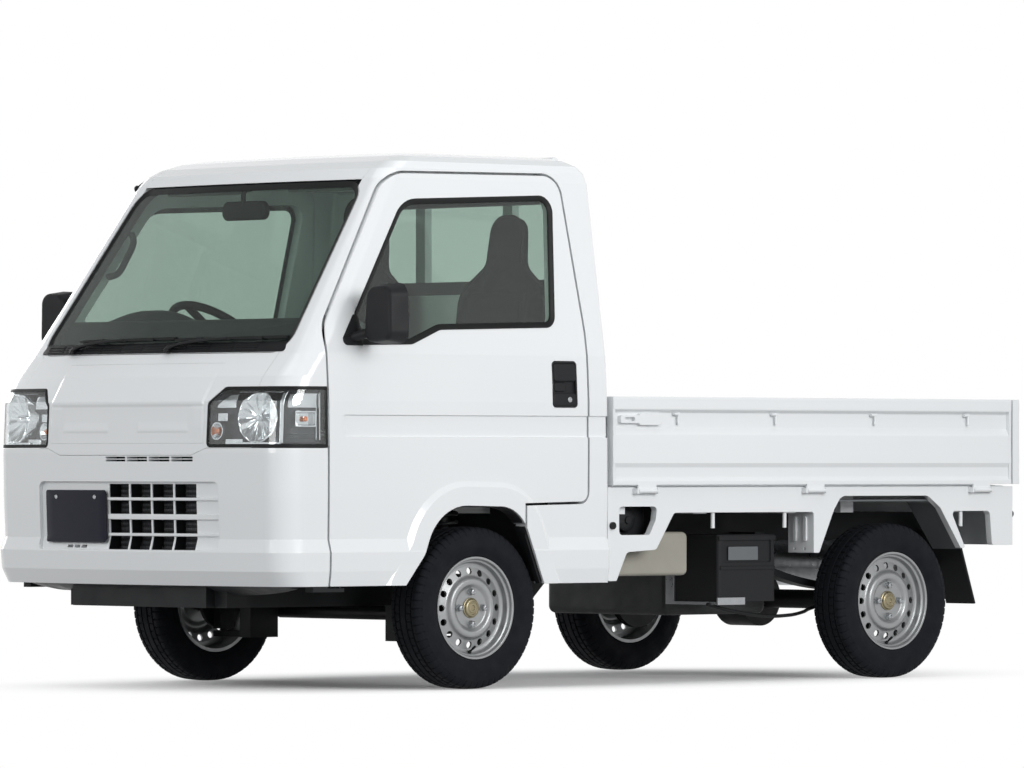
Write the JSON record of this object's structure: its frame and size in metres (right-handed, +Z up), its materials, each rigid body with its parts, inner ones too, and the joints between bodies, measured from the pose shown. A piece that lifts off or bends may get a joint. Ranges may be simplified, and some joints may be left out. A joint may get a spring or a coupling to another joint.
{
  "type": "kei truck",
  "caption": "Cab-over light pickup with a hollow cab, swinging doors, a drop-sided load bed, steered front wheels and a rear guard frame.",
  "frame": {"origin": "on the ground under the middle of the truck", "axes": "+X forward, +Y to the truck's left, +Z up"},
  "size_m": [3.395, 1.7784, 1.7349],
  "materials": {
    "body_paint": "gloss",
    "chassis_paint": "satin",
    "glass": "clear",
    "lens": "clear",
    "lamp_body": "gloss",
    "black_plastic": "matte",
    "trim_plastic": "matte",
    "seat_cloth": "matte",
    "tyre_rubber": "matte",
    "wheel_silver": "satin",
    "cast": "rough",
    "metal": "satin",
    "tank": "satin",
    "red_lens": "gloss"
  },
  "bodies": {
    "chassis": {"frame": "chassis_paint", "cab_floor": "body_paint", "cab_back": "body_paint", "cab_roof": "body_paint", "cab_side_left": "body_paint", "cab_side_right": "body_paint", "front_panel": "body_paint", "bumper": "body_paint", "radiator": "metal", "windscreen": "glass", "back_window": "glass", "lamp_lenses": "lens", "lamp_bodies": "lamp_body", "door_pivots": "chassis_paint", "dashboard": "trim_plastic", "steering_column": "chassis_paint", "seat_cushions": "seat_cloth", "seat_backs": "seat_cloth", "leaf_springs": "chassis_paint", "rear_axle": "chassis_paint", "engine": "cast", "exhaust": "metal", "fuel_tank": "tank", "battery_box": "black_plastic", "battery_tray": "metal", "rear_mudguards": "chassis_paint", "mud_flaps": "black_plastic", "wheel_liners": "black_plastic", "gate_stops": "black_plastic", "bed_frame": "body_paint", "bed_floor": "body_paint", "bed_front_wall": "body_paint", "guard_frame": "body_paint", "tail_lamps": "red_lens", "front_suspension": "chassis_paint", "strut_mounts": "chassis_paint", "steering_rack": "chassis_paint"},
    "steering_wheel": {"steering_wheel": "black_plastic"},
    "tie_rods": {"tie_rods": "chassis_paint"},
    "tailgate": {"tailgate": "body_paint"},
    "door_left": {"door_panel_left": "body_paint", "door_glass_left": "glass", "door_mirror_left": "black_plastic"},
    "gate_left": {"gate_left": "body_paint"},
    "knuckle_left": {"knuckle_left": "chassis_paint"},
    "wheel_front_left": {"tyre_front_left": "tyre_rubber", "disc_front_left": "wheel_silver"},
    "wheel_rear_left": {"tyre_rear_left": "tyre_rubber", "disc_rear_left": "wheel_silver"},
    "door_right": {"door_panel_right": "body_paint", "door_glass_right": "glass", "door_mirror_right": "black_plastic"},
    "gate_right": {"gate_right": "body_paint"},
    "knuckle_right": {"knuckle_right": "chassis_paint"},
    "wheel_front_right": {"tyre_front_right": "tyre_rubber", "disc_front_right": "wheel_silver"},
    "wheel_rear_right": {"tyre_rear_right": "tyre_rubber", "disc_rear_right": "wheel_silver"}
  },
  "joints": [
    {"name": "steering_wheel_turn", "type": "hinge", "parent": "chassis", "child": "steering_wheel", "pos_m": [1.0105, -0.33, 1.14], "axis": [-0.6157, 0, 0.788], "range_deg": [-560, 560]},
    {"name": "tie_rod_slide", "type": "slide", "parent": "chassis", "child": "tie_rods", "axis": [0, -1, 0], "range_m": [-0.0701, 0.0701]},
    {"name": "knuckle_left_steer", "type": "hinge", "parent": "chassis", "child": "knuckle_left", "pos_m": [0.804, 0.548, 0.262], "axis": [0, 0, 1], "range_deg": [-35.01, 35.01]},
    {"name": "wheel_front_left_spin", "type": "hinge", "parent": "knuckle_left", "child": "wheel_front_left", "pos_m": [0.804, 0.648, 0.262], "axis": [0, 1, 0], "continuous": true},
    {"name": "wheel_rear_left_spin", "type": "hinge", "parent": "chassis", "child": "wheel_rear_left", "pos_m": [-1.096, 0.648, 0.262], "axis": [0, 1, 0], "continuous": true},
    {"name": "door_left_swing", "type": "hinge", "parent": "chassis", "child": "door_left", "pos_m": [1.3955, 0.7215, 0.9], "axis": [0, 0, -1], "range_deg": [0, 65]},
    {"name": "gate_left_drop", "type": "hinge", "parent": "chassis", "child": "gate_left", "pos_m": [-0.7, 0.7295, 0.636], "axis": [-1, 0, 0], "range_deg": [0, 180]},
    {"name": "knuckle_right_steer", "type": "hinge", "parent": "chassis", "child": "knuckle_right", "pos_m": [0.804, -0.548, 0.262], "axis": [0, 0, 1], "range_deg": [-35.01, 35.01]},
    {"name": "wheel_front_right_spin", "type": "hinge", "parent": "knuckle_right", "child": "wheel_front_right", "pos_m": [0.804, -0.648, 0.262], "axis": [0, 1, 0], "continuous": true},
    {"name": "wheel_rear_right_spin", "type": "hinge", "parent": "chassis", "child": "wheel_rear_right", "pos_m": [-1.096, -0.648, 0.262], "axis": [0, 1, 0], "continuous": true},
    {"name": "door_right_swing", "type": "hinge", "parent": "chassis", "child": "door_right", "pos_m": [1.3955, -0.7215, 0.9], "axis": [0, 0, 1], "range_deg": [0, 65]},
    {"name": "gate_right_drop", "type": "hinge", "parent": "chassis", "child": "gate_right", "pos_m": [-0.7, -0.7295, 0.636], "axis": [1, 0, 0], "range_deg": [0, 180]},
    {"name": "tailgate_drop", "type": "hinge", "parent": "chassis", "child": "tailgate", "pos_m": [-1.6895, 0, 0.636], "axis": [0, -1, 0], "range_deg": [0, 180]}
  ],
  "couplings": [
    {"joint": "knuckle_left_steer", "follows": "steering_wheel_turn", "ratio": 0.0625},
    {"joint": "knuckle_right_steer", "follows": "steering_wheel_turn", "ratio": 0.0625},
    {"joint": "tie_rod_slide", "follows": "steering_wheel_turn", "m_per_rad": 0.007162}
  ]
}
